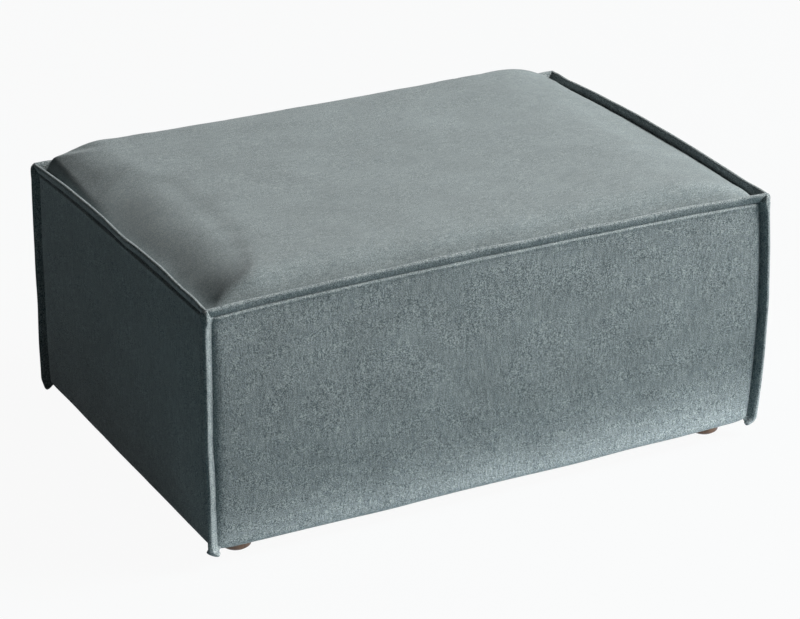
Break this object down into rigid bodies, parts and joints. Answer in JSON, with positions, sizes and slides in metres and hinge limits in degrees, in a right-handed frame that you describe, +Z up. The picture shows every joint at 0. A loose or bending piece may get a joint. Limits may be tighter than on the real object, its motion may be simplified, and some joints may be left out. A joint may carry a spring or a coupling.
{
  "type": "upholstered ottoman",
  "caption": "Low rectangular box ottoman with a crowned seat, raised flange seams along its edges and short round wooden feet.",
  "frame": {"origin": "on the floor under the middle of the ottoman", "axes": "+X along the long side, to the right when the front is seen; +Y from the front to the back; +Z up"},
  "size_m": [0.976, 0.676, 0.453],
  "materials": {
    "upholstery_cloth": "heathered blue-grey velvet chenille",
    "cushion_foam": "polyurethane foam",
    "polyester_fibre": "white polyester fibre",
    "steel_wire": "galvanised wire",
    "black_nonwoven": "spun-bonded non-woven cloth",
    "webbing": "elastic webbing",
    "frame_timber": "planed softwood",
    "hardboard": "hardboard",
    "stained_wood": "dark walnut stain, satin lacquer",
    "felt": "needled felt",
    "zinc_steel": "zinc plated"
  },
  "bodies": {
    "root": {"back_board": "hardboard", "back_lower_rail": "frame_timber", "back_studs": "frame_timber", "back_upper_rail": "frame_timber", "corner_braces": "frame_timber", "cover_back_panel": "upholstery_cloth", "cover_front_panel": "upholstery_cloth", "cover_left_panel": "upholstery_cloth", "cover_right_panel": "upholstery_cloth", "cover_top_panel": "upholstery_cloth", "cross_rails": "frame_timber", "deck_cloth": "black_nonwoven", "dust_cloth": "black_nonwoven", "dust_cloth_staples": "steel_wire", "fibre_wrap": "polyester_fibre", "flange_corner_back_left": "upholstery_cloth", "flange_corner_back_right": "upholstery_cloth", "flange_corner_front_left": "upholstery_cloth", "flange_corner_front_right": "upholstery_cloth", "flange_top_back": "upholstery_cloth", "flange_top_front": "upholstery_cloth", "flange_top_left": "upholstery_cloth", "flange_top_right": "upholstery_cloth", "foam_pad_back": "cushion_foam", "foam_pad_front": "cushion_foam", "foam_pad_left": "cushion_foam", "foam_pad_right": "cushion_foam", "foot_back_left": "stained_wood", "foot_back_right": "stained_wood", "foot_block_back_left": "frame_timber", "foot_block_back_right": "frame_timber", "foot_block_front_left": "frame_timber", "foot_block_front_right": "frame_timber", "foot_front_left": "stained_wood", "foot_front_right": "stained_wood", "foot_glides": "felt", "front_board": "hardboard", "front_lower_rail": "frame_timber", "front_studs": "frame_timber", "front_upper_rail": "frame_timber", "hanger_bolts": "zinc_steel", "left_board": "hardboard", "left_lower_rail": "frame_timber", "left_studs": "frame_timber", "left_upper_rail": "frame_timber", "long_frame_screws": "zinc_steel", "right_board": "hardboard", "right_lower_rail": "frame_timber", "right_studs": "frame_timber", "right_upper_rail": "frame_timber", "seat_foam": "cushion_foam", "short_frame_screws": "zinc_steel", "stud_dowels": "frame_timber", "tee_nuts": "zinc_steel", "webbing_front_to_back": "webbing", "webbing_side_to_side": "webbing", "webbing_staples": "steel_wire"}
  },
  "joints": []
}
